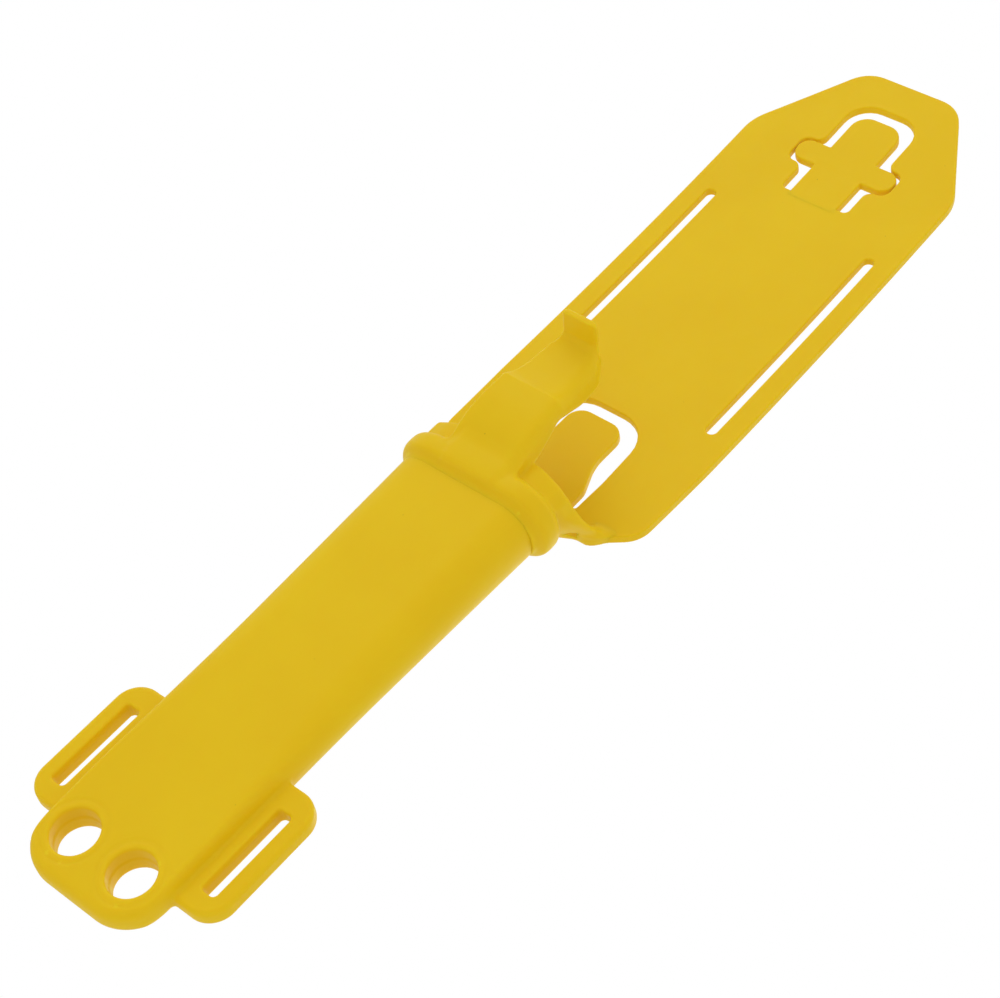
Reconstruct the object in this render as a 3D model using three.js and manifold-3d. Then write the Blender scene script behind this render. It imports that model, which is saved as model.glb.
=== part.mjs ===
// Moulded plastic knife sheath with a fold-over belt plate, two gripping tongues and two leg-strap loops.
// Millimetres. It is drawn lying on its back: x to the right, y up its length from the tip, z to the front.
// The last lines stand it upright, with the origin where the belt passes through the closed fold.
import * as THREE from 'three';
import { mergeVertices } from 'three/addons/utils/BufferGeometryUtils.js';
import Module from 'manifold-3d';

const wasm = await Module();
wasm.setup();

// Driving dimensions.
const SPLIT = 0.3; // gap between neighbouring regions of the moulding
const SHEET = 2.24; // thickness of the flexible belt plate
const PARTING = 12.5; // height of the pocket's middle plane over the plate's front face

const POCKET = {
  tipY: 21, // where the hollow part starts
  mouthY: 126.2,
  halfWidth: 19.2,
  mouthHalfWidth: 19.7,
  tipHalfDepth: 4.3,
  mouthHalfDepth: 8.4,
  wall: 1.8,
  floorY: 25, // closed lower end of the blade space
  roundness: 2.6, // exponent of the section's superellipse
};
const TIP = { endY: 1, halfWidth: 18.4, depth: 6.2, corner: 11.5, holeX: 8.65, holeY: 11.8, holeR: 5.66 };
const LOOP = {
  rootX: 15.6, // inside the pocket's wall, before the pocket's room is cut away
  outerX: 28.6,
  lowY: 12.8,
  highY: 48.6,
  backZ: 8.2,
  depth: 5,
  corner: 6,
  slotX: 23.15,
  slotHalfWidth: 2.43,
  slotLowY: 18.4,
  slotHighY: 41.8,
};
const BEAD = {
  lowY: 126.5,
  highY: 131.9,
  halfWidth: 22.2,
  halfDepth: 10.2,
  swell: 1.6, // how far its middle would stand out past a flat band
  cutOff: 0.16, // share of the half-round swell left off at each end
};
const COLLAR = {
  highY: 139.6,
  root: { width: 21.4, front: 9.2, back: 9.6 },
  rim: { width: 22.5, front: 7.6, back: PARTING + SHEET },
  rootRoom: { width: 17.9, front: 6.8, back: 6.6 },
  rimRoom: { width: 19.4, front: 6, back: PARTING },
  tongueRoom: { halfWidth: 11.2, backZ: PARTING + 3 },
};
const FOLD = { y: 212.7, beltOffset: 5 }; // fold line, and the belt's middle behind the plate's middle
const PLATE = {
  halfWidth: 31,
  lowY: 139.9,
  lowHalfWidth: 21.5,
  shoulderY: 147,
  shoulderHalfWidth: 30.4,
  fullWidthY: 170,
  chamferY: 270.8,
  endY: 298.8,
  endHalfWidth: 13.9,
  corner: 5,
  lean: THREE.MathUtils.degToRad(3.4), // forward lean of the half above the fold
};
const BELT_SLOT = { x: 24.2, halfWidth: 1.45, lowY: 179.8, highY: 245.2 };
const WINDOW = { halfWidth: 12.9, lowY: 144.6, highY: 173.7, corner: 7 }; // opening round the rear tongue
const REAR = {
  rootY: 144.9,
  rootHalfWidth: 11,
  bendY: 149.5,
  neckY: 158,
  neckHalfWidth: 7.6,
  topY: 169.8,
  corner: 5,
};
const TAB = {
  rootY: 254,
  topY: 285.2,
  headHalfWidth: 7,
  corner: 4.5,
  armLowY: 265,
  armHighY: 271.9,
  armHalfSpan: 14.7,
  armCorner: 3.3,
};
const TAB_OPENING = {
  halfWidth: 9.95,
  highY: 289,
  corner: 6.8,
  armLowY: 264.5,
  armHighY: 272.3,
  armHalfSpan: 15,
  armCorner: 2.8,
};
const TONGUE = {
  rootY: 132.2,
  rootHalfWidth: 9.8,
  creaseY: 151,
  creaseHalfWidth: 8.8,
  lipY: 167.6,
  lipHalfWidth: 5.1,
  // Side profile in (y, z): face up to the crease, dip up to the lip, lip's top edge, and the hooked back.
  face: [[132.2, 22.3], [137, 25.3], [144, 27.3], [151, 27.8]],
  dip: [[151, 27.8], [155.4, 26.3], [160, 26.1], [165, 26.4], [167.6, 27.4]],
  lipFront: [168.5, 34.1],
  back: [
    [170, 34.1],
    [170, 27.5],
    [169.2, 22.8],
    [165.5, 19.8],
    [160.8, 19.1],
    [156.5, 20.1],
    [152, 22.2],
    [146, 21.9],
    [139.5, 19.3],
    [132.2, 18.3],
  ],
};

const YELLOW = { color: 0xdcb824, roughness: 0.42, metalness: 0 };

// Closed mesh to solid, and solid back to geometry.
function solid(geometry) {
  const bare = geometry.clone();
  bare.deleteAttribute('normal');
  bare.deleteAttribute('uv');
  const merged = mergeVertices(bare, 1e-4);
  return new wasm.Manifold(new wasm.Mesh({
    numProp: 3,
    vertProperties: new Float32Array(merged.attributes.position.array),
    triVerts: new Uint32Array(merged.index.array),
  }));
}

function geometryOf(manifold) {
  const mesh = manifold.getMesh();
  const geometry = new THREE.BufferGeometry();
  geometry.setAttribute('position', new THREE.BufferAttribute(mesh.vertProperties, 3));
  geometry.setIndex(new THREE.BufferAttribute(mesh.triVerts, 1));
  geometry.computeVertexNormals();
  return geometry;
}

function box(x0, x1, y0, y1, z0, z1) {
  const geometry = new THREE.BoxGeometry(x1 - x0, y1 - y0, z1 - z0);
  geometry.translate((x0 + x1) / 2, (y0 + y1) / 2, (z0 + z1) / 2);
  return solid(geometry);
}

// Slab of a plan outline between two heights.
function slab(shape, backZ, frontZ, curveSegments = 6) {
  const geometry = new THREE.ExtrudeGeometry(shape, { depth: frontZ - backZ, bevelEnabled: false, curveSegments });
  geometry.translate(0, 0, backZ);
  return solid(geometry);
}

// Outline whose corners are rounded by a radius each: [x, y, radius].
function roundedOutline(corners) {
  const shape = new THREE.Shape();
  corners.forEach(([x, y, radius], i) => {
    const before = corners[(i + corners.length - 1) % corners.length];
    const after = corners[(i + 1) % corners.length];
    const corner = new THREE.Vector2(x, y);
    const into = new THREE.Vector2(before[0], before[1]).sub(corner).normalize();
    const out = new THREE.Vector2(after[0], after[1]).sub(corner).normalize();
    const half = into.angleTo(out) / 2;
    const reach = radius / Math.tan(half);
    const start = corner.clone().addScaledVector(into, reach);
    const end = corner.clone().addScaledVector(out, reach);
    if (i === 0) shape.moveTo(start.x, start.y);
    else shape.lineTo(start.x, start.y);
    if (radius > 0) shape.quadraticCurveTo(x, y, end.x, end.y);
  });
  shape.closePath();
  return shape;
}

// Mirror a right-hand chain of corners, listed upwards, into a closed symmetric outline.
function symmetricOutline(rightSide) {
  const leftSide = rightSide.map(([x, y, radius]) => [-x, y, radius]).reverse();
  return roundedOutline([...rightSide, ...leftSide]);
}

function rectangle(x0, x1, y0, y1, radius) {
  return roundedOutline([[x0, y0, radius], [x1, y0, radius], [x1, y1, radius], [x0, y1, radius]]);
}

// Unit section in x and z, a superellipse.
function unitSection(segments = 40) {
  const power = 2 / POCKET.roundness;
  const points = [];
  for (let i = 0; i < segments; i += 1) {
    const angle = (2 * Math.PI * i) / segments;
    const x = Math.sign(Math.cos(angle)) * Math.abs(Math.cos(angle)) ** power;
    const z = Math.sign(Math.sin(angle)) * Math.abs(Math.sin(angle)) ** power;
    points.push(new THREE.Vector2(x, z));
  }
  return new THREE.Shape(points);
}

// Lofted body of that section along y. size(t) gives half width, depth to the front and depth to the back.
function loft(y0, y1, steps, size) {
  const options = { depth: 1, steps, bevelEnabled: false };
  const geometry = new THREE.ExtrudeGeometry(unitSection(), options);
  const position = geometry.attributes.position;
  for (let i = 0; i < position.count; i += 1) {
    const t = 1 - position.getZ(i);
    const { width, front, back } = size(t);
    const side = position.getY(i);
    const depth = side > 0 ? front : back;
    position.setXYZ(i, position.getX(i) * width, y0 + (y1 - y0) * t, PARTING + side * depth);
  }
  return solid(geometry);
}

const mix = THREE.MathUtils.lerp;

// Pocket: outer body less blade space, split at the parting plane.
function pocketSize(t, wall) {
  const width = mix(POCKET.halfWidth, POCKET.mouthHalfWidth, t) - wall;
  const depth = mix(POCKET.tipHalfDepth, POCKET.mouthHalfDepth, t) - wall;
  return { width, front: depth, back: depth };
}

function pocketAt(y, wall) {
  return pocketSize((y - POCKET.tipY) / (POCKET.mouthY - POCKET.tipY), wall);
}

function bladeSpace(y1) {
  const size = (t) => pocketAt(mix(POCKET.floorY, y1, t), POCKET.wall);
  return loft(POCKET.floorY, y1, 2, size);
}

function pocketShell(side) {
  const outer = loft(POCKET.tipY, POCKET.mouthY, 3, (t) => pocketSize(t, 0));
  const near = PARTING + (side * SPLIT) / 2;
  const far = PARTING + side * 20;
  const half = box(-40, 40, 0, 150, Math.min(near, far), Math.max(near, far));
  return outer.subtract(bladeSpace(POCKET.mouthY + 5)).intersect(half);
}

// Flat end of the sheath with its two lanyard holes.
function tipPlate() {
  const top = POCKET.tipY - SPLIT;
  const outline = symmetricOutline([[TIP.halfWidth, TIP.endY, TIP.corner], [TIP.halfWidth, top, 0]]);
  for (const side of [-1, 1]) {
    const hole = new THREE.Path();
    hole.absarc(side * TIP.holeX, TIP.holeY, TIP.holeR, 0, 2 * Math.PI, true);
    outline.holes.push(hole);
  }
  return slab(outline, PARTING - TIP.depth / 2, PARTING + TIP.depth / 2, 12);
}

// Leg-strap loop on one side, a flat ring of plastic beside the pocket.
function strapLoop(side) {
  const corners = [
    [LOOP.rootX, LOOP.lowY, 0],
    [LOOP.outerX, LOOP.lowY, LOOP.corner],
    [LOOP.outerX, LOOP.highY, LOOP.corner],
    [LOOP.rootX, LOOP.highY, 0],
  ];
  const outline = roundedOutline(corners.map(([x, y, r]) => [side * x, y, r]));
  const x = side * LOOP.slotX;
  const w = LOOP.slotHalfWidth;
  const slot = slab(rectangle(x - w, x + w, LOOP.slotLowY, LOOP.slotHighY, 1.2), 0, 30);
  const pocketRoom = loft(0, 60, 2, (t) => pocketAt(60 * t, -SPLIT));
  const tipRoom = box(-TIP.halfWidth - SPLIT, TIP.halfWidth + SPLIT, 0, POCKET.tipY, 0, 30);
  const ring = slab(outline, LOOP.backZ, LOOP.backZ + LOOP.depth).subtract(slot);
  return ring.subtract(pocketRoom).subtract(tipRoom);
}

// Stiffening bead round the mouth of the pocket.
function throatBead() {
  const outer = loft(BEAD.lowY, BEAD.highY, 4, (t) => {
    const round = Math.sin(Math.PI * mix(BEAD.cutOff, 1 - BEAD.cutOff, t));
    const inset = BEAD.swell * (1 - round);
    return { width: BEAD.halfWidth - inset, front: BEAD.halfDepth - inset, back: BEAD.halfDepth - inset };
  });
  return outer.subtract(bladeSpace(BEAD.highY + 5));
}

function between(low, high, t) {
  return {
    width: mix(low.width, high.width, t),
    front: mix(low.front, high.front, t),
    back: mix(low.back, high.back, t),
  };
}

// Collar past the bead. Its back wall runs down to the belt plate, and the front is left to the tongue.
function mouthCollar() {
  const { highY, root, rim, rootRoom, rimRoom, tongueRoom } = COLLAR;
  const y0 = BEAD.highY + SPLIT;
  const outer = loft(y0, highY, 3, (t) => between(root, rim, t));
  const inner = loft(y0 - 2, highY + 2, 3, (t) => between(rootRoom, rimRoom, t));
  const front = box(-tongueRoom.halfWidth, tongueRoom.halfWidth, y0 - 1, highY + 1, tongueRoom.backZ, 40);
  return outer.subtract(inner).subtract(front);
}

// Front tongue: its side profile extruded across and narrowed towards the lip.
function tongueProfile() {
  const curve = (knots, steps) => new THREE.SplineCurve(knots.map(([y, z]) => new THREE.Vector2(y, z))).getPoints(steps);
  const [face, dip, back] = [curve(TONGUE.face, 8), curve(TONGUE.dip, 10), curve(TONGUE.back, 20)];
  const lipFront = new THREE.Vector2(...TONGUE.lipFront);
  return new THREE.Shape([...face, ...dip.slice(1), lipFront, ...back]);
}

function tongueHalfWidth(y) {
  if (y < TONGUE.creaseY) {
    const t = (y - TONGUE.rootY) / (TONGUE.creaseY - TONGUE.rootY);
    return mix(TONGUE.rootHalfWidth, TONGUE.creaseHalfWidth, t);
  }
  const t = Math.min((y - TONGUE.creaseY) / (TONGUE.lipY - TONGUE.creaseY), 1);
  return mix(TONGUE.creaseHalfWidth, TONGUE.lipHalfWidth, t ** 1.6);
}

function retainingTongue() {
  const geometry = new THREE.ExtrudeGeometry(tongueProfile(), { depth: 2, bevelEnabled: false });
  const position = geometry.attributes.position;
  for (let i = 0; i < position.count; i += 1) {
    const y = position.getX(i);
    const across = position.getZ(i) - 1;
    position.setXYZ(i, across * tongueHalfWidth(y), y, position.getY(i));
  }
  return solid(geometry);
}

// Rear tongue, cut free of the belt plate on three sides.
function rearTongue() {
  const outline = symmetricOutline([
    [REAR.rootHalfWidth, REAR.rootY, 0],
    [REAR.rootHalfWidth, REAR.bendY, 2],
    [REAR.neckHalfWidth, REAR.neckY, 4],
    [REAR.neckHalfWidth, REAR.topY, REAR.corner],
  ]);
  return slab(outline, -SHEET, 0);
}

function beltSlots() {
  const slots = [-1, 1].map((side) => {
    const x = side * BELT_SLOT.x;
    const w = BELT_SLOT.halfWidth;
    return slab(rectangle(x - w, x + w, BELT_SLOT.lowY, BELT_SLOT.highY, w), -10, 10);
  });
  return slots[0].add(slots[1]);
}

function beltWindow() {
  const w = WINDOW.halfWidth;
  const outline = symmetricOutline([[w, WINDOW.lowY, 0], [w, WINDOW.highY, WINDOW.corner]]);
  return slab(outline, -10, 10);
}

// Belt plate below the fold, with the window that the lock tab clips into.
function beltPanelLower() {
  const outline = symmetricOutline([
    [PLATE.lowHalfWidth, PLATE.lowY, 0],
    [PLATE.shoulderHalfWidth, PLATE.shoulderY, 7],
    [PLATE.halfWidth, PLATE.fullWidthY, 6],
    [PLATE.halfWidth, FOLD.y - SPLIT / 2, 0],
  ]);
  return slab(outline, -SHEET, 0).subtract(beltWindow()).subtract(beltSlots());
}

// Cross-shaped outline of the lock tab, and of the opening round it.
function crossOutline(rootY, halfWidth, highY, corner, cross) {
  return symmetricOutline([
    [halfWidth, rootY, 0],
    [halfWidth, cross.armLowY, 0.8],
    [cross.armHalfSpan, cross.armLowY, cross.armCorner],
    [cross.armHalfSpan, cross.armHighY, cross.armCorner],
    [halfWidth, cross.armHighY, 0.8],
    [halfWidth, highY, corner],
  ]);
}

// The half above the fold leans forward about the fold line, so it is drawn level and then turned.
function leanForward(manifold) {
  const geometry = geometryOf(manifold);
  geometry.translate(0, -FOLD.y, SHEET / 2);
  geometry.rotateX(PLATE.lean);
  geometry.translate(0, FOLD.y, -SHEET / 2);
  return solid(geometry);
}

function beltPanelUpper() {
  const outline = symmetricOutline([
    [PLATE.halfWidth, FOLD.y + SPLIT / 2, 0],
    [PLATE.halfWidth, PLATE.chamferY, PLATE.corner],
    [PLATE.endHalfWidth, PLATE.endY, PLATE.corner],
  ]);
  const { halfWidth, highY, corner } = TAB_OPENING;
  const opening = slab(crossOutline(TAB.rootY - SPLIT, halfWidth, highY, corner, TAB_OPENING), -10, 10);
  return leanForward(slab(outline, -SHEET, 0).subtract(opening).subtract(beltSlots()));
}

function lockTab() {
  return leanForward(slab(crossOutline(TAB.rootY, TAB.headHalfWidth, TAB.topY, TAB.corner, TAB), -SHEET, 0));
}

const sheath = new THREE.Group();

function addPiece(name, manifold) {
  const mesh = new THREE.Mesh(geometryOf(manifold), new THREE.MeshStandardMaterial(YELLOW));
  mesh.name = name;
  sheath.add(mesh);
}

addPiece('pocket_front_shell', pocketShell(1));
addPiece('pocket_back_shell', pocketShell(-1));
addPiece('tip_plate', tipPlate());
addPiece('left_strap_loop', strapLoop(-1));
addPiece('right_strap_loop', strapLoop(1));
addPiece('throat_bead', throatBead());
addPiece('mouth_collar', mouthCollar());
addPiece('retaining_tongue', retainingTongue());
addPiece('rear_tongue', rearTongue());
addPiece('belt_panel_lower', beltPanelLower());
addPiece('belt_panel_upper', beltPanelUpper());
addPiece('lock_tab', lockTab());

// Stand it upright: up its length is +Z, and the front faces -Y.
sheath.position.set(0, -SHEET / 2 - FOLD.beltOffset, -FOLD.y);
sheath.rotation.x = Math.PI / 2;

const part = new THREE.Group();
part.add(sheath);

export default part;
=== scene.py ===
"""A yellow moulded knife sheath, hung as it is worn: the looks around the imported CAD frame.

Shapes are worked out in millimetres in the sheath's own axes: x to the right, y up its length
from the tip, z to the front of the belt plate. sheath_to_row() turns them into the frame's metres.
"""

import math

import bmesh
import bpy
import numpy as np
from mathutils import Matrix, Vector


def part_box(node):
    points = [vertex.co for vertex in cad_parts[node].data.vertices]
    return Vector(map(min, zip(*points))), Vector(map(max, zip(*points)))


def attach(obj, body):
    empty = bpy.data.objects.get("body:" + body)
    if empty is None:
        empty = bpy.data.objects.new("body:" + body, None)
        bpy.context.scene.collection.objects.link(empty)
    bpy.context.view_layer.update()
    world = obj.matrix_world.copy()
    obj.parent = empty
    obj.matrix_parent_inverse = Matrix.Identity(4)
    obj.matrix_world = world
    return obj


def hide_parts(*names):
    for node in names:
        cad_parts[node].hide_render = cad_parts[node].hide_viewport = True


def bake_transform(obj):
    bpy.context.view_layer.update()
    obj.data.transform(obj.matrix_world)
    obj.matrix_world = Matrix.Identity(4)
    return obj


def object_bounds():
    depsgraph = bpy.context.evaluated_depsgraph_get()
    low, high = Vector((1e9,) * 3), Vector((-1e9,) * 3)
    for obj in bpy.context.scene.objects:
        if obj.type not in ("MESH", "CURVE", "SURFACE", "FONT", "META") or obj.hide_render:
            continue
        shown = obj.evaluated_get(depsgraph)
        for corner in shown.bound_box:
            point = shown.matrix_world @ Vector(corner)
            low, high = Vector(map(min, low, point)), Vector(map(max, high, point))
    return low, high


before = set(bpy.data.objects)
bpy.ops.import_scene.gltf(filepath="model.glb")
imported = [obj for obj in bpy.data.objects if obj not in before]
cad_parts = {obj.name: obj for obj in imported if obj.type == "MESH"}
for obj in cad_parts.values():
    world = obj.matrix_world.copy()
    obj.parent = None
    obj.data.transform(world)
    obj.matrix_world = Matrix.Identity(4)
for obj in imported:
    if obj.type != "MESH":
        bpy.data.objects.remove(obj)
CAD_LOW, CAD_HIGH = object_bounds()

MM = 0.001

# Where the sheath lies in the frame, and the sizes that the frame gives.
PLATE_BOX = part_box("belt_panel_lower")
TIP_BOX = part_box("tip_plate")
PLATE_FRONT = PLATE_BOX[0].y
SHEET = (PLATE_BOX[1].y - PLATE_BOX[0].y) / MM
PLATE_HALF = PLATE_BOX[1].x / MM
TIP_HALF = TIP_BOX[1].x / MM
TIP_END = 1.0
TIP_Z = TIP_BOX[0].z - TIP_END * MM
FOLD_Y = -TIP_Z / MM  # the frame's origin is level with the fold

# Other sizes and heights, in millimetres.
PARTING = 12.5  # middle plane of the pocket
MOUTH_HALF = 19.7
MOUTH_DEPTH = 8.4
TIP_DEPTH = 3.1
TIP_CORNER = 11.0
TIP_SHOULDER, MOUTH_SHOULDER = 2.2, 8.5  # widths of the rounded sides of the pocket's section
WALL = 1.8
BLADE_FLOOR = 25.0
POCKET_END = 131.0  # inside the bead
BEAD_Y = 129.0
WINDOW_LOW, WINDOW_HIGH = 144.8, 173.7
REAR_TOP = 170.1
TAB_ROOT, TAB_TOP = 254.8, 285.2
PLATE_LOW = 139.2
BOW_START = 150.0  # the belt plate bows forward above this
BELT_SLOT_X = 24.2
HIDDEN = 0.04  # how far a buried surface lies under the visible one
SKIN_EXTRA = 0.03  # a tongue's or tab's skin is this much thicker than the sheet
ROOT_OVERLAP = 1.5  # how far such a skin runs on into the plate
ROOT_SPARE = 3.0  # drawn below that, and cut off

# Strap loops, the gaps in them and the lanyard holes: middles, half sizes and roundings.
LOOP_X, LOOP_Y, LOOP_Z = 20.3, 30.6, 11.1
LOOP_HALF_X, LOOP_HALF_Y, LOOP_HALF_Z = 8.7, 17.1, 2.1
LOOP_CORNER, LOOP_EDGE, LOOP_FILLET = 6.2, 1.3, 0.9
GAP_X, GAP_Y = 23.15, 30.1
GAP_HALF_X, GAP_HALF_Y, GAP_FLARE = 1.7, 11.6, 0.3
GAP_CORNER, GAP_EDGE = 1.1, 0.6
HOLE_X, HOLE_Y, HOLE_EDGE = 8.65, 11.8, 0.8
HOLE_BACK_RADIUS, HOLE_FRONT_RADIUS = 5.38, 5.6
RING_RADIUS, RING_WIDTH, RING_HEIGHT = 7.5, 0.45, 0.14  # faint ring moulded round each hole


def sheath_to_row(points):
    points = np.asarray(points, float)
    row = np.empty_like(points)
    row[:, 0] = points[:, 0] * MM
    row[:, 1] = PLATE_FRONT - points[:, 2] * MM
    row[:, 2] = TIP_Z + points[:, 1] * MM
    return row


def place(x, y, z):
    return Vector(sheath_to_row([[x, y, z]])[0])


# ------------------------------------------------------------------------------------------------
# Distance fields. Each takes x, y, z arrays and gives the signed distance to a surface,
# negative inside.


def smooth_union(a, b, reach):
    near = np.maximum(reach - np.abs(a - b), 0) / reach
    return np.minimum(a, b) - near * near * reach / 4


def smooth_cut(a, b, reach):
    return -smooth_union(-a, -b, reach)


def ramp(value, low, high):
    t = np.clip((value - low) / (high - low), 0, 1)
    return t * t * (3 - 2 * t)


def mix(a, b, t):
    return a + (b - a) * t


def rounded_box(x, y, half_x, half_y, radius):
    qx = np.abs(x) - half_x + radius
    qy = np.abs(y) - half_y + radius
    outside = np.hypot(np.maximum(qx, 0), np.maximum(qy, 0))
    return outside + np.minimum(np.maximum(qx, qy), 0) - radius


def flat_oval(x, z, half, middle, depth, shoulder):
    """Section that is flat across the middle, with elliptical shoulders."""
    q = np.maximum(np.abs(x) - half + shoulder, 0) / shoulder
    s = np.abs(z - middle) / depth
    rho = np.hypot(q, s) + 1e-6
    return (rho - 1) * rho / (np.hypot(q / shoulder, s / depth) + 1e-6)


def polygon_distance(u, v, corners):
    """Signed distance to a closed polygon, by its nearest edge and a crossing count."""
    best = np.full(np.broadcast(u, v).shape, 1e9)
    inside = np.zeros(best.shape, bool)
    for (u0, v0), (u1, v1) in zip(corners, np.roll(corners, -1, axis=0)):
        du, dv = u1 - u0, v1 - v0
        t = np.clip(((u - u0) * du + (v - v0) * dv) / (du * du + dv * dv), 0, 1)
        best = np.minimum(best, (u - u0 - t * du) ** 2 + (v - v0 - t * dv) ** 2)
        crosses = (v0 > v) != (v1 > v)
        with np.errstate(divide="ignore", invalid="ignore"):
            inside ^= crosses & (u < du * (v - v0) / (dv if dv else 1e-9) + u0)
    return np.where(inside, -1, 1) * np.sqrt(best)


def net(field, xs, ys, zs):
    """Quads on a field's zero surface, by surface nets on a grid, then moved on to the surface."""
    grid = field(xs[:, None, None], ys[None, :, None], zs[None, None, :]).astype(np.float32)
    inside = grid < 0
    shape = np.array(grid.shape) - 1
    count = np.zeros(shape, np.int8)
    corners = [(i, j, k) for i in (0, 1) for j in (0, 1) for k in (0, 1)]
    for i, j, k in corners:
        count += inside[i : i + shape[0], j : j + shape[1], k : k + shape[2]]
    cells = np.argwhere((count > 0) & (count < 8))
    index = np.full(shape, -1, np.int64)
    index[tuple(cells.T)] = np.arange(len(cells))
    axes = (xs, ys, zs)
    total = np.zeros((len(cells), 3))
    hits = np.zeros(len(cells))
    for a in corners:
        for axis in range(3):
            if a[axis]:
                continue
            b = tuple(1 if n == axis else a[n] for n in range(3))
            va = grid[tuple((cells + a).T)]
            vb = grid[tuple((cells + b).T)]
            cut = (va < 0) != (vb < 0)
            t = np.where(cut, va / np.where(cut, va - vb, 1), 0)
            for n in range(3):
                low = axes[n][cells[:, n] + a[n]]
                high = axes[n][cells[:, n] + b[n]]
                total[:, n] += np.where(cut, low + (high - low) * t, 0)
            hits += cut
    points = settle(field, total / hits[:, None])
    return points, net_quads(inside, index)


def net_quads(inside, index):
    quads = []
    for axis in range(3):
        u, v = (axis + 1) % 3, (axis + 2) % 3
        first = [slice(None)] * 3
        second = [slice(None)] * 3
        first[axis], second[axis] = slice(None, -1), slice(1, None)
        for n in (u, v):
            first[n] = second[n] = slice(1, -1)
        a, b = inside[tuple(first)], inside[tuple(second)]
        found = np.argwhere(a != b)
        outward = a[tuple(found.T)]
        start = found.copy()
        start[:, u] += 1
        start[:, v] += 1
        ring = []
        for du, dv in ((0, 0), (-1, 0), (-1, -1), (0, -1)):
            cell = start.copy()
            cell[:, u] += du
            cell[:, v] += dv
            ring.append(index[tuple(cell.T)])
        ring = np.stack(ring, axis=1)
        quads.append(np.where(outward[:, None], ring, ring[:, ::-1]))
    return np.concatenate(quads)


def settle(field, points, steps=3, reach=0.25):
    """Newton steps along the field's gradient, each no longer than reach."""
    e = 0.02
    for _ in range(steps):
        x, y, z = points.T
        d = field(x, y, z)
        slope = np.stack(
            [
                field(x + e, y, z) - field(x - e, y, z),
                field(x, y + e, z) - field(x, y - e, z),
                field(x, y, z + e) - field(x, y, z - e),
            ],
            axis=1,
        ) / (2 * e)
        size = np.maximum(np.linalg.norm(slope, axis=1), 0.3)
        step = np.clip(d / size, -reach, reach)
        points = points - slope / size[:, None] * step[:, None]
    return points


def steps_between(*stretches):
    """Grid lines over stretches of (start, end, spacing)."""
    lines = [np.arange(a, b, s) for a, b, s in stretches]
    return np.concatenate([*lines, [stretches[-1][1]]])


def piece(name, points, faces):
    mesh = bpy.data.meshes.new(name)
    mesh.from_pydata(sheath_to_row(points).tolist(), [], np.asarray(faces).tolist())
    mesh.validate()
    mesh.polygons.foreach_set("use_smooth", [True] * len(mesh.polygons))
    made = bpy.data.objects.new(name, mesh)
    bpy.context.scene.collection.objects.link(made)
    return made


# ------------------------------------------------------------------------------------------------
# Pocket, tip and strap loops: one moulded body.


def pocket_section(x, y, z, wall):
    """The pocket's tapering outer surface, or the surface that lies wall inside it."""
    t = np.clip((y - TIP_END) / (BEAD_Y - TIP_END), 0, 1)
    half = mix(TIP_HALF, MOUTH_HALF, t) - wall
    depth = mix(TIP_DEPTH, MOUTH_DEPTH, t) - wall
    shoulder = mix(TIP_SHOULDER, MOUTH_SHOULDER, ramp(y, 22, 78))
    return flat_oval(x, z, half, PARTING, depth, shoulder)


def pocket_plan(x, y):
    """The pocket seen from the front, rounded at the tip and running on past the mouth."""
    length = 160.0
    half = mix(TIP_HALF, MOUTH_HALF, np.clip(y / BEAD_Y, 0, 1))
    return rounded_box(x, y - TIP_END - length / 2, half, length / 2, TIP_CORNER)


def strap_loop(x, y, z):
    outline = rounded_box(np.abs(x) - LOOP_X, y - LOOP_Y, LOOP_HALF_X, LOOP_HALF_Y, LOOP_CORNER)
    return smooth_cut(outline, np.abs(z - LOOP_Z) - LOOP_HALF_Z, LOOP_EDGE)


def loop_gap(x, y, z):
    """The gap that a strap goes through, which widens a little towards the front."""
    half = GAP_HALF_X + GAP_FLARE * ramp(z, 11.5, 13.2)
    return rounded_box(np.abs(x) - GAP_X, y - GAP_Y, half, GAP_HALF_Y, GAP_CORNER)


def lanyard_holes(x, y, z):
    """Distance to the holes, which step at the parting plane, and to the nearer one's middle."""
    from_middle = np.hypot(np.abs(x) - HOLE_X, y - HOLE_Y)
    radius = mix(HOLE_BACK_RADIUS, HOLE_FRONT_RADIUS, ramp(z, PARTING - 0.3, PARTING + 0.3))
    return from_middle - radius, from_middle


def pocket_field(x, y, z):
    body = smooth_cut(pocket_section(x, y, z, 0), pocket_plan(x, y), 2.6)
    body = smooth_union(body, strap_loop(x, y, z), LOOP_FILLET)
    body = smooth_cut(body, -loop_gap(x, y, z), GAP_EDGE)
    hole, from_middle = lanyard_holes(x, y, z)
    ring = RING_HEIGHT * np.exp(-(((from_middle - RING_RADIUS) / RING_WIDTH) ** 2))
    body = smooth_cut(body + ring, -hole, HOLE_EDGE)
    blade_space = smooth_cut(pocket_section(x, y, z, WALL), BLADE_FLOOR - y, 2.0)
    body = np.maximum(body, -blade_space)
    return np.maximum(body, y - POCKET_END)


def make_pocket():
    xs = steps_between((-29.4, 29.5, 0.42))
    ys = steps_between((0, 50, 0.42), (50, 131.6, 1.1))
    zs = steps_between((3.4, 21.9, 0.36))
    made = piece("pocket_body", *net(pocket_field, xs, ys, zs))
    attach(made, "sheath")
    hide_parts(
        "pocket_front_shell",
        "pocket_back_shell",
        "tip_plate",
        "left_strap_loop",
        "right_strap_loop",
    )
    return made


# ------------------------------------------------------------------------------------------------
# Throat: bead, collar and front tongue.


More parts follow.
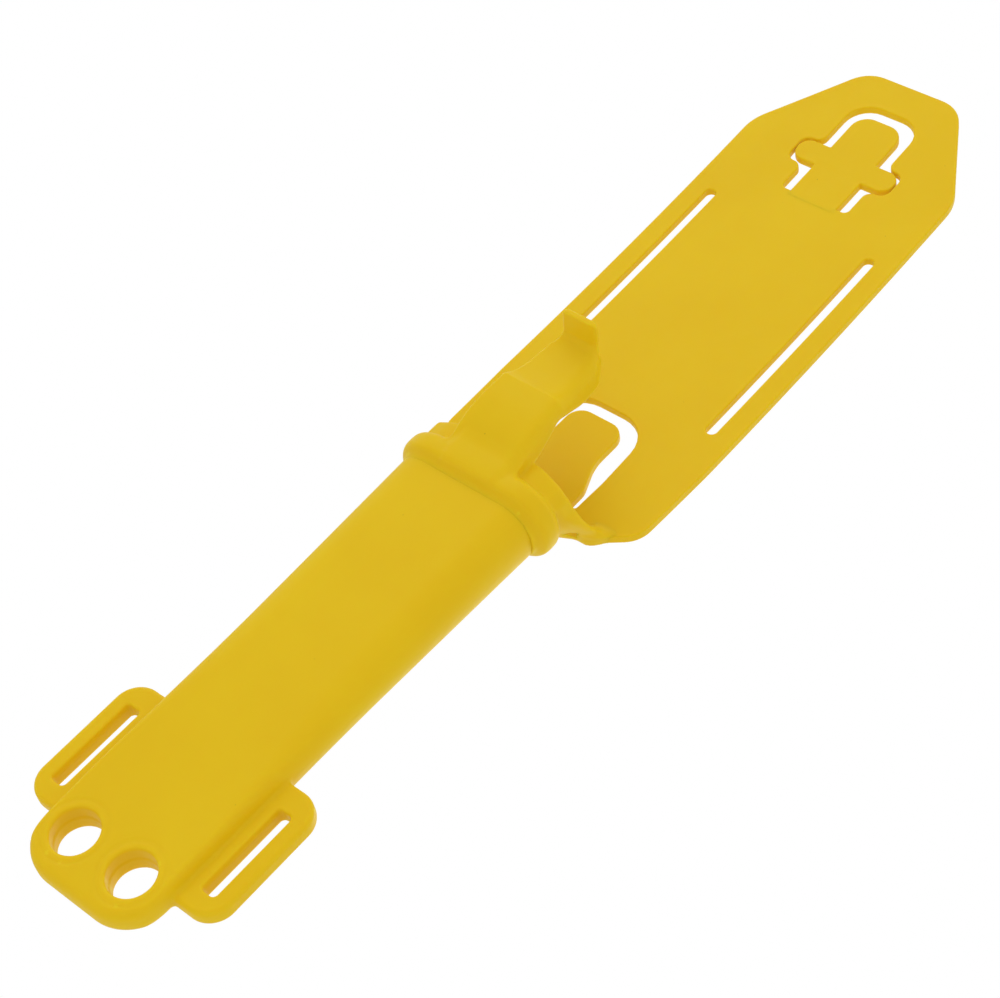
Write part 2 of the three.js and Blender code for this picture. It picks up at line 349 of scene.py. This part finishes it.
def smooth_run(knots, steps=6):
    """Points of a Catmull-Rom curve through the knots."""
    knots = np.asarray(knots, float)
    padded = np.concatenate([[2 * knots[0] - knots[1]], knots, [2 * knots[-1] - knots[-2]]])
    points = []
    for p0, p1, p2, p3 in zip(padded, padded[1:], padded[2:], padded[3:]):
        for t in np.arange(steps) / steps:
            bend = 2 * p0 - 5 * p1 + 4 * p2 - p3
            points.append(p1 + t / 2 * (p2 - p0 + t * (bend + t * (3 * p1 - p0 - 3 * p2 + p3))))
    return [*points, knots[-1]]


# Side profile of the front tongue in (y, z): face up to the crease, dip up to the lip, and the
# hooked back.
TONGUE_FACE = [(129, 21.5), (133, 23.2), (138, 25.8), (144, 27.3), (151, 27.8)]
TONGUE_DIP = [
    (151, 27.8), (153, 26.8), (155.4, 26.3), (160, 26.1), (164, 26.3), (166.4, 27.0), (167.7, 28.6)
]
TONGUE_LIP = [(168.5, 34.1), (170, 34.1)]
TONGUE_BACK = [
    (170, 34.1), (170.1, 29), (169.9, 25.5), (169.2, 22.8), (167.2, 20.6), (164.5, 19.5),
    (160.8, 19.1), (157.6, 19.6), (155, 20.7), (152, 22.2), (149, 22.8), (145.5, 21.8), (141, 19.9),
    (136, 18.5), (129, 18.3),
]
TONGUE_PROFILE = np.array(
    [
        *smooth_run(TONGUE_FACE)[:-1],
        *smooth_run(TONGUE_DIP),
        *TONGUE_LIP,
        *smooth_run(TONGUE_BACK)[1:],
    ]
)
# Half width of the tongue at each height, as (y, half).
TONGUE_WIDTHS = np.array(
    [(129, 10.0), (132, 9.9), (151, 8.8), (153, 8.4), (155.1, 7.9), (157.6, 7.5), (160, 7.3),
     (164.7, 6.8), (166.6, 5.8), (167.8, 5.1), (172, 4.7)]
).T


def tongue(x, y, z):
    """Crisp along its left and back edges, and softly rounded along its right front edge."""
    side = polygon_distance(y, z, TONGUE_PROFILE)
    half = np.interp(y, *TONGUE_WIDTHS)
    softness = ramp(x, -3, 3) * ramp(z, 22, 25.5) * (1 - 0.6 * ramp(z, 27.5, 31))
    return smooth_cut(side, np.abs(x) - half, mix(0.9, 3.6, softness))


def bead(x, y, z):
    """Band round the pocket's mouth, squarer than a circle in section."""
    half_across, half_along, sunk = 2.5, 2.9, 0.3
    scale = 2.8  # makes the result about a distance
    across = np.abs(pocket_section(x, BEAD_Y, z, 0) + sunk) / half_across
    along = np.abs(y - BEAD_Y) / half_along
    return scale * ((across**3 + along**3) ** (1 / 3) - 1)


# Cross-section of the collar at its rim, in (x, z) right of the middle, drawn inside its rounded
# corners.
FLARE_ROUND = 1.2
FLARE_SECTION = np.array(
    [(-5, -1.0), (20.8, -1.0), (22.2, 1.5), (22.2, 4.4), (21.2, 8.0), (19.6, 12.0), (19.1, 15.2),
     (17.4, 17.4), (14.6, 18.1), (-5, 18.1)]
)
MOUTH_ROUND = 1.5
MOUTH_SECTION = np.array(
    [(-5, 1.6), (18.3, 1.6), (19.2, 3.6), (18.4, 7.4), (17.0, 11.5), (16.6, 14.4), (15.6, 15.4),
     (-5, 15.6)]
)
# Height of the collar's rim, as (z, y).
RIM_HEIGHTS = np.array(
    [(-3, 142.6), (0.8, 142.1), (3.4, 140.9), (5.3, 139.7), (8, 138.6), (12, 137.9), (16, 137.3),
     (18, 137.4), (21, 138.4)]
).T


def rim_height(x, z):
    by_tongue = 0.3 * ramp(15 - np.abs(x), 0, 5) * ramp(z, 8, 14)
    return np.interp(z, *RIM_HEIGHTS) + by_tongue


def underside(x, z):
    """Lowest y of the flare: its sides stand clear of the bead, its back slopes to the plate."""
    side = np.maximum(138.0 - 0.54 * z, 133.4)
    back = 136.5 - 1.34 * z
    return mix(back, side, ramp(np.abs(x), 16.5, 20.5))


def slanted_edge(x, y):
    """Distance to the line of the plate's slanted lower edge."""
    on_edge_x, on_edge_y = 23.5, 141.3
    normal_x, normal_y = 0.592, -0.806
    return (np.abs(x) - on_edge_x) * normal_x + (y - on_edge_y) * normal_y


def plate_corner(x, y):
    """Outline of the plate's lower end: a slanted edge from the collar out to the full width."""
    edge = smooth_cut(slanted_edge(x, y), np.abs(x) - PLATE_HALF + 0.4, 9.0)
    return smooth_cut(edge, PLATE_LOW - y, 3.0)


def collar(x, y, z):
    """Neck up from the bead, and the flare that runs from it to the plate."""
    rim = y - rim_height(x, z)
    neck_half, neck_depth = 19.4, 8.1
    neck = flat_oval(x, z, neck_half, PARTING, neck_depth, MOUTH_SHOULDER)
    neck = np.maximum(neck, BEAD_Y - y)
    flare = polygon_distance(np.abs(x) + 0 * z, z + 0 * x, FLARE_SECTION) - FLARE_ROUND
    flare = smooth_cut(flare, underside(x, z) - y, 1.2)
    flare = smooth_cut(flare, slanted_edge(x, y) - 0.36 * np.maximum(z, 0), 1.2)
    fillet = mix(4.0, 1.4, ramp(z, 6, 12))
    return smooth_cut(smooth_union(flare, neck, fillet), rim, 1.3)


def mouth_space(x, y, z):
    """The opening for the blade, which widens from the bead to the rim."""
    at_rim = polygon_distance(np.abs(x) + 0 * z, z + 0 * x, MOUTH_SECTION) - MOUTH_ROUND
    at_bead = pocket_section(x, BEAD_Y, z, WALL + 0.3)
    return mix(at_bead, at_rim, ramp(y, 130.5, 139.5))


def window_outline(x, y):
    half = 13.3 - 0.5 * ramp(y, 155, 166)
    middle = (WINDOW_LOW + WINDOW_HIGH) / 2
    half_length = (WINDOW_HIGH - WINDOW_LOW) / 2
    return rounded_box(x, y - middle, half, half_length, 0.8)


def buried_plate(x, y, z):
    """The plate's lowest part, a little inside the visible plate, for the fillets to join."""
    edge = np.maximum(plate_corner(x, y) + 0.06, y - BOW_START)
    edge = np.maximum(edge, 0.08 - window_outline(x, y))
    return np.maximum(edge, np.abs(z + SHEET / 2) - SHEET / 2 + HIDDEN)


def throat_field(x, y, z):
    """The whole throat. Its fillets are wider at the collar's sides and by the tongue's middle."""
    outer = ramp(np.abs(x), 17.5, 21)
    plate_fillet = mix(1.8, 3.2, outer)
    tongue_fillet = mix(4.6, 1.3, ramp(np.abs(x), 6.5, 9.5))
    collar_fillet = mix(0.9, 2.2, outer * (1 - ramp(z, 9, 13)))
    body = smooth_union(collar(x, y, z), buried_plate(x, y, z), plate_fillet)
    body = np.maximum(body, -z - SHEET + HIDDEN)
    buried_skin = np.maximum(pocket_section(x, y, z, HIDDEN), np.abs(y - 128) - 3.4)
    front = smooth_union(bead(x, y, z), buried_skin, 2.2)
    front = smooth_union(front, tongue(x, y, z), tongue_fillet)
    body = smooth_union(body, front, collar_fillet)
    return smooth_cut(body, -mouth_space(x, y, z), 0.8)


def make_throat():
    xs = steps_between((-31.2, 31.3, 0.42))
    ys = steps_between((124.2, 171.2, 0.36))
    zs = steps_between((-2.9, 35.2, 0.36))
    made = piece("throat_and_tongue", *net(throat_field, xs, ys, zs))
    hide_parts("throat_bead", "mouth_collar", "retaining_tongue")
    place(0, 130.5, 22.5)
    place(0, 137, 30)
    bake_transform(made)
    return made


# ------------------------------------------------------------------------------------------------
# Belt plate, rear tongue and lock tab: flat sheet with rounded edges.


def rounded_loop(corners, turn_steps=7):
    """Closed outline from corners of (x, y, radius), with true arcs."""
    points = []
    for i, (x, y, radius) in enumerate(corners):
        corner = Vector((x, y))
        before = (Vector(corners[i - 1][:2]) - corner).normalized()
        after = (Vector(corners[(i + 1) % len(corners)][:2]) - corner).normalized()
        if radius <= 0:
            points.append(corner)
            continue
        half = before.angle(after) / 2
        centre = corner + (before + after).normalized() * radius / math.sin(half)
        start = corner + before * radius / math.tan(half) - centre
        end = corner + after * radius / math.tan(half) - centre
        sweep = start.angle_signed(end)
        for n in range(turn_steps + 1):
            turned = start.copy()
            turned.rotate(Matrix.Rotation(-sweep * n / turn_steps, 2))
            points.append(centre + turned)
    return points


def both_sides(right):
    """Closed corner list from its right half, listed upwards."""
    return [*right, *[(-x, y, r) for x, y, r in reversed(right)]]


def plate_rise(y):
    """How far forward the plate lies: above BOW_START it dips back 0.3 mm, then bows forward."""
    up = np.maximum(np.asarray(y, float) - BOW_START, 0)
    return 0.00038 * up * up - 0.0207 * up


def sheet_piece(name, outline, openings=(), thickness=SHEET, edge=0.4, cuts=(), root=None):
    """Sheet cut to an outline with openings, its edges rounded.

    cuts are heights where it is divided across, so that it can bend. At root, where it runs into
    another piece, its end is cut off square.
    """
    curve = bpy.data.curves.new(name, "CURVE")
    curve.dimensions = "2D"
    curve.fill_mode = "BOTH"
    curve.extrude = (thickness / 2 - edge) * MM
    curve.bevel_depth = edge * MM
    curve.bevel_resolution = 3
    curve.offset = -edge * MM
    for loop in (outline, *openings):
        spline = curve.splines.new("POLY")
        spline.points.add(len(loop) - 1)
        for point, (x, y) in zip(spline.points, loop):
            point.co = (x * MM, y * MM, 0, 1)
        spline.use_cyclic_u = True
    drawn = bpy.data.objects.new(name + "_curve", curve)
    bpy.context.scene.collection.objects.link(drawn)
    depsgraph = bpy.context.evaluated_depsgraph_get()
    mesh = bpy.data.meshes.new_from_object(drawn.evaluated_get(depsgraph))
    bpy.data.objects.remove(drawn)
    return finish_sheet(name, mesh, cuts, root)


def finish_sheet(name, mesh, cuts, root):
    work = bmesh.new()
    work.from_mesh(mesh)
    bmesh.ops.remove_doubles(work, verts=work.verts, dist=1e-6)
    if root is not None:
        everything = [*work.verts, *work.edges, *work.faces]
        bmesh.ops.bisect_plane(
            work, geom=everything, plane_co=(0, root * MM, 0), plane_no=(0, 1, 0), clear_inner=True
        )
        open_edges = [e for e in work.edges if e.is_boundary]
        for end in bmesh.ops.holes_fill(work, edges=open_edges)["faces"]:
            for edge in end.edges:
                edge.smooth = False
    for height in cuts:
        everything = [*work.verts, *work.edges, *work.faces]
        bmesh.ops.bisect_plane(
            work, geom=everything, plane_co=(0, height * MM, 0), plane_no=(0, 1, 0), dist=1e-7
        )
    bmesh.ops.recalc_face_normals(work, faces=work.faces)
    flat = np.array([v.co for v in work.verts]) / MM
    flat[:, 2] += plate_rise(flat[:, 1]) - SHEET / 2
    for vert, co in zip(work.verts, sheath_to_row(flat)):
        vert.co = co
    bmesh.ops.recalc_face_normals(work, faces=work.faces)
    work.to_mesh(mesh)
    work.free()
    mesh.name = name
    mesh.polygons.foreach_set("use_smooth", [True] * len(mesh.polygons))
    made = bpy.data.objects.new(name, mesh)
    bpy.context.scene.collection.objects.link(made)
    weigh = made.modifiers.new("weighted_normals", "WEIGHTED_NORMAL")
    weigh.weight = 100
    weigh.keep_sharp = True
    return made


def tab_corners(root):
    """Right half of the cross-shaped lock tab."""
    neck, head, arm = 7.05, 6.95, 14.7
    low, high = 265.0, 271.9
    return [
        (neck, root, 0),
        (neck, low, 0.3),
        (arm, low, 3.3),
        (arm, high, 3.3),
        (head, high, 0.3),
        (head, TAB_TOP, 4.6),
    ]


def tab_opening():
    """Opening round the lock tab, a slit's width clear of it on every side but its root."""
    side, arm, low, high, top = 9.95, 15.1, 263.8, 272.4, 289.0
    return both_sides(
        [
            (side, TAB_ROOT, 1.4),
            (side, low, 2.4),
            (arm, low, 2.6),
            (arm, high, 2.6),
            (side, high, 2.4),
            (side, top, 6.8),
        ]
    )


def belt_slot(middle):
    """Upright slot in the belt plate with round ends."""
    low, high, half = 179.8, 245.2, 1.45
    left, right, corner = middle - half, middle + half, half - 0.01
    return [(right, low, corner), (right, high, corner), (left, high, corner), (left, low, corner)]


def make_plate():
    outline = both_sides(
        [
            (20.3, PLATE_LOW, 1.0),
            (30.4, 146.5, 7.5),
            (PLATE_HALF, 170, 10),
            (PLATE_HALF, 270.8, 13.0),
            (13.9, 298.8, 9.0),
        ]
    )
    window = both_sides([(12.8, WINDOW_LOW, 0.6), (13.1, 154, 20), (12.3, WINDOW_HIGH, 9.0)])
    slots = [belt_slot(-BELT_SLOT_X), belt_slot(BELT_SLOT_X)]
    openings = [rounded_loop(c) for c in (window, *slots, tab_opening())]
    bend_half = 8.0  # half the length of plate round the fold, which is cut finely across
    bend_cuts = np.arange(FOLD_Y - bend_half - 1, FOLD_Y + bend_half + 1, 0.5)
    cuts = [*np.arange(BOW_START, 296, 4.0), *bend_cuts]
    made = sheet_piece("belt_plate", rounded_loop(outline), openings, cuts=cuts)
    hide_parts("belt_panel_lower", "belt_panel_upper")
    apply_modifiers(made)
    place(0, FOLD_Y - bend_half, 0)
    place(0, FOLD_Y + bend_half, 0)
    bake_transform(made)
    return made


def make_rear_tongue():
    root = WINDOW_LOW - ROOT_OVERLAP
    foot_half, top_half = 11.0, 7.6
    corners = both_sides(
        [
            (foot_half, root - ROOT_SPARE, 0),
            (foot_half, 150, 5),
            (top_half, 158, 14),
            (top_half, REAR_TOP, 4.3),
        ]
    )
    cuts = np.arange(root + 1, REAR_TOP - 1, 1.0)
    made = sheet_piece(
        "rear_tongue_skin",
        rounded_loop(corners),
        thickness=SHEET + SKIN_EXTRA,
        cuts=cuts,
        root=root,
    )
    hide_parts("rear_tongue")
    apply_modifiers(made)
    place(0, WINDOW_LOW, 0)
    place(0, 152, 0)
    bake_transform(made)
    return made


def make_lock_tab():
    root = TAB_ROOT - ROOT_OVERLAP
    corners = both_sides(tab_corners(root - ROOT_SPARE))
    cuts = np.arange(root + 1, TAB_TOP - 1, 1.0)
    made = sheet_piece(
        "lock_tab_skin",
        rounded_loop(corners),
        thickness=SHEET + SKIN_EXTRA,
        cuts=cuts,
        root=root,
    )
    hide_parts("lock_tab")
    apply_modifiers(made)
    rise = float(plate_rise(TAB_ROOT))
    place(0, TAB_ROOT - 1, rise)
    place(0, 262, rise)
    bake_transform(made)
    return made


def apply_modifiers(made):
    depsgraph = bpy.context.evaluated_depsgraph_get()
    made.data = bpy.data.meshes.new_from_object(made.evaluated_get(depsgraph))
    made.modifiers.clear()


# ------------------------------------------------------------------------------------------------
# Material, light and camera.


BASE_YELLOW = (0.89, 0.605, 0.008, 1)
DEEP_YELLOW = (0.875, 0.58, 0.007, 1)
# Pale yellow of the painted highlights on sharp edges.
EDGE_HIGHLIGHT_YELLOW = (0.93, 0.73, 0.02, 1)
SPECK_BROWN = (0.20, 0.12, 0.01, 1)


def make_plastic(name, painted_edge_highlights):
    """Satin, slightly translucent plastic.

    When set, painted highlights lighten the sharp edges, found by the mesh's pointiness, which
    would streak long triangles.
    """
    material = bpy.data.materials.new(name)
    material.use_nodes = True
    nodes, links = material.node_tree.nodes, material.node_tree.links
    shader = nodes["Principled BSDF"]
    where = nodes.new("ShaderNodeTexCoord").outputs["Object"]

    def noise(scale, detail, roughness=0.5):
        node = nodes.new("ShaderNodeTexNoise")
        node.inputs["Scale"].default_value = scale
        node.inputs["Detail"].default_value = detail
        node.inputs["Roughness"].default_value = roughness
        links.new(where, node.inputs["Vector"])
        return node.outputs["Fac"]

    def spread(source, low, high, from_low=0.35, from_high=0.65):
        node = nodes.new("ShaderNodeMapRange")
        node.inputs["From Min"].default_value = from_low
        node.inputs["From Max"].default_value = from_high
        node.inputs["To Min"].default_value = low
        node.inputs["To Max"].default_value = high
        links.new(source, node.inputs["Value"])
        return node.outputs["Result"]

    def blend_colours(amount, first, second):
        node = nodes.new("ShaderNodeMix")
        node.data_type = "RGBA"
        for socket, value in ((node.inputs[6], first), (node.inputs[7], second)):
            if isinstance(value, tuple):
                socket.default_value = value
            else:
                links.new(value, socket)
        links.new(amount, node.inputs[0])
        return node.outputs[2]

    colour = blend_colours(spread(noise(38, 3), 0, 1), BASE_YELLOW, DEEP_YELLOW)
    if painted_edge_highlights:
        # Painted highlight: sharp edges turn pale yellow, as if light caught them.
        pointiness = nodes.new("ShaderNodeNewGeometry").outputs["Pointiness"]
        edges = spread(pointiness, 0, 0.5, 0.515, 0.60)
        colour = blend_colours(edges, colour, EDGE_HIGHLIGHT_YELLOW)
    specks = nodes.new("ShaderNodeTexVoronoi")
    specks.inputs["Scale"].default_value = 130
    specks.inputs["Randomness"].default_value = 1
    links.new(where, specks.inputs["Vector"])
    dots = spread(specks.outputs["Distance"], 0.35, 0, 0.012, 0.028)
    colour = blend_colours(dots, colour, SPECK_BROWN)
    links.new(colour, shader.inputs["Base Color"])
    links.new(spread(noise(420, 4, 0.6), 0.42, 0.52), shader.inputs["Roughness"])
    shader.inputs["IOR"].default_value = 1.51
    shader.inputs["Specular IOR Level"].default_value = 0.12
    shader.inputs["Subsurface Weight"].default_value = 0.5
    shader.inputs["Subsurface Radius"].default_value = (1.0, 0.8, 0.1)
    shader.inputs["Subsurface Scale"].default_value = 0.0011
    bump = nodes.new("ShaderNodeBump")
    bump.inputs["Strength"].default_value = 0.10
    bump.inputs["Distance"].default_value = 0.0001
    links.new(noise(900, 3), bump.inputs["Height"])
    links.new(bump.outputs["Normal"], shader.inputs["Normal"])
    return material


def make_floor():
    material = bpy.data.materials.new("pale_floor")
    material.use_nodes = True
    shader = material.node_tree.nodes["Principled BSDF"]
    shader.inputs["Base Color"].default_value = (0.86, 0.86, 0.86, 1)
    shader.inputs["Roughness"].default_value = 0.9
    level = CAD_LOW.z - 0.30  # the sheath hangs, so the floor is well below it
    half = 40.0  # metres, far past the sheath
    mesh = bpy.data.meshes.new("floor")
    square = ((-half, -half), (half, -half), (half, half), (-half, half))
    corners = [(x, y, level) for x, y in square]
    mesh.from_pydata(corners, [], [(0, 1, 2, 3)])
    floor = bpy.data.objects.new("floor", mesh)
    floor.data.materials.append(material)
    bpy.context.scene.collection.objects.link(floor)


def aimed(place_at, target, up):
    """Rotation that looks from a place at a target, with the given up direction in the picture."""
    forward = (Vector(target) - Vector(place_at)).normalized()
    right = forward.cross(Vector(up)).normalized()
    true_up = right.cross(forward)
    return Matrix((right, true_up, -forward)).transposed()


def make_camera():
    """The photograph's viewpoint."""
    place_at = place(278.6, -90.2, 409.9)
    data = bpy.data.cameras.new("camera")
    data.lens = 85.3
    data.sensor_width = 36
    data.clip_start = 0.01
    camera = bpy.data.objects.new("camera", data)
    bpy.context.scene.collection.objects.link(camera)
    forward = Vector((-0.5159, 0.7490, 0.4157))
    turn = aimed(place_at, place_at + forward, (-0.4189, -0.6439, 0.6403))
    camera.matrix_world = Matrix.Translation(place_at) @ turn.to_4x4()
    bpy.context.scene.camera = camera


def area_light(name, place_at, target, size, power):
    data = bpy.data.lights.new(name, "AREA")
    data.shape = "DISK"
    data.size = size
    data.energy = power
    light = bpy.data.objects.new(name, data)
    bpy.context.scene.collection.objects.link(light)
    turn = aimed(place_at, target, (0.1, 0.2, 1))
    light.matrix_world = Matrix.Translation(Vector(place_at)) @ turn.to_4x4()


def make_light():
    """White background, even light all round, a soft lamp at the front left and one behind."""
    world = bpy.data.worlds.new("studio")
    bpy.context.scene.world = world
    world.use_nodes = True
    nodes, links = world.node_tree.nodes, world.node_tree.links
    seen = nodes["Background"]
    seen.inputs["Color"].default_value = (1, 1, 1, 1)
    seen.inputs["Strength"].default_value = 1.0
    soft = nodes.new("ShaderNodeBackground")
    soft.inputs["Color"].default_value = (1, 1, 1, 1)
    soft.inputs["Strength"].default_value = 0.80
    path = nodes.new("ShaderNodeLightPath")
    pick = nodes.new("ShaderNodeMixShader")
    links.new(path.outputs["Is Camera Ray"], pick.inputs[0])
    links.new(soft.outputs[0], pick.inputs[1])
    links.new(seen.outputs[0], pick.inputs[2])
    links.new(pick.outputs[0], nodes["World Output"].inputs["Surface"])
    middle = (CAD_LOW + CAD_HIGH) / 2
    area_light("key", middle + Vector((-0.55, -0.75, 0.65)), middle, 0.7, 1.2)
    area_light("back", middle + Vector((0.1, 0.9, 0.5)), middle, 0.8, 1.6)


make_camera()
make_light()
make_floor()
solid_pieces = [make_pocket(), make_throat()]
sheet_pieces = [make_plate(), make_rear_tongue(), make_lock_tab()]
for pieces, plastic in (
    # Only the moulded pieces get painted highlights on their edges.
    (solid_pieces, make_plastic("moulded_plastic", painted_edge_highlights=True)),
    (sheet_pieces, make_plastic("sheet_plastic", painted_edge_highlights=False)),
):
    for made in pieces:
        made.data.materials.clear()
        made.data.materials.append(plastic)
bpy.context.scene.view_settings.view_transform = "Standard"
